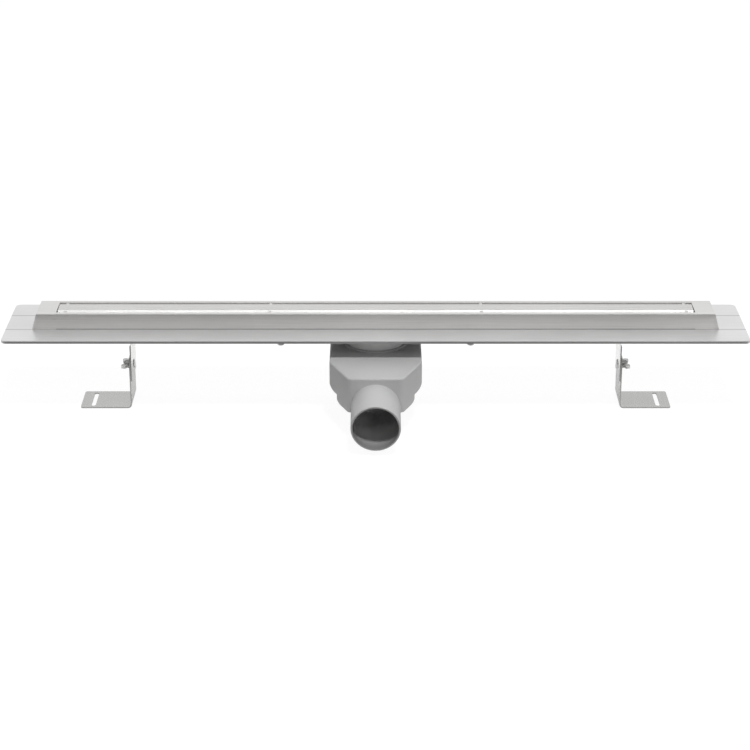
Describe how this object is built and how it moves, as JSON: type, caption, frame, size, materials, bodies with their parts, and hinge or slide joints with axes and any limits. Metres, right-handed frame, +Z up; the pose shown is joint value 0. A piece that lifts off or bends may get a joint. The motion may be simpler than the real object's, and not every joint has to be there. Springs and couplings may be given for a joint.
{
  "type": "channel drain",
  "caption": "Long folded stainless channel drain with a slim cover bar, wide sealing flange, plastic odour trap with a side outlet, and slotted height-adjustable feet.",
  "frame": {"origin": "middle of the cover bar's top face, at finished floor level", "axes": "+X along the channel to the right, +Y away from the outlet, +Z up"},
  "size_m": [0.765, 0.2052, 0.105],
  "materials": {
    "stainless_sheet": "fine brushed, satin",
    "stainless_cover": "fine brushed, bright",
    "zinc_steel": "dull zinc",
    "trap_plastic": "matte moulded",
    "insert_plastic": "matte moulded",
    "seal_rubber": "matte"
  },
  "bodies": {
    "channel": {"channel_tray": "stainless_sheet", "end_cap_left": "stainless_sheet", "end_cap_right": "stainless_sheet", "cover_bar": "stainless_cover", "bar_spacers": "stainless_sheet", "weld_studs": "zinc_steel", "outlet_collar": "stainless_sheet", "insert_seal": "seal_rubber", "odour_insert": "insert_plastic", "hair_strainer": "insert_plastic", "hanger_left": "stainless_sheet", "hanger_right": "stainless_sheet", "clamp_bolt_left": "zinc_steel", "clamp_bolt_right": "zinc_steel", "washer_left": "zinc_steel", "washer_right": "zinc_steel"},
    "trap": {"trap_housing": "trap_plastic", "trap_lid": "trap_plastic", "throat_seal": "seal_rubber"},
    "foot_left": {"foot_left": "stainless_sheet"},
    "foot_right": {"foot_right": "stainless_sheet"},
    "wing_nut_left": {"wing_nut_left": "zinc_steel"},
    "wing_nut_right": {"wing_nut_right": "zinc_steel"}
  },
  "joints": [
    {"name": "trap_swivel", "type": "hinge", "parent": "channel", "child": "trap", "pos_m": [0, 0, 0], "axis": [0, 0, 1], "continuous": true},
    {"name": "foot_slide_left", "type": "slide", "parent": "channel", "child": "foot_left", "axis": [0, 0, 1], "range_m": [-0.008, 0.008]},
    {"name": "wing_nut_turn_left", "type": "hinge", "parent": "channel", "child": "wing_nut_left", "pos_m": [-0.2595, 0, -0.0632], "axis": [-1, 0, 0], "continuous": true},
    {"name": "foot_slide_right", "type": "slide", "parent": "channel", "child": "foot_right", "axis": [0, 0, 1], "range_m": [-0.008, 0.008]},
    {"name": "wing_nut_turn_right", "type": "hinge", "parent": "channel", "child": "wing_nut_right", "pos_m": [0.2595, 0, -0.0632], "axis": [1, 0, 0], "continuous": true}
  ]
}
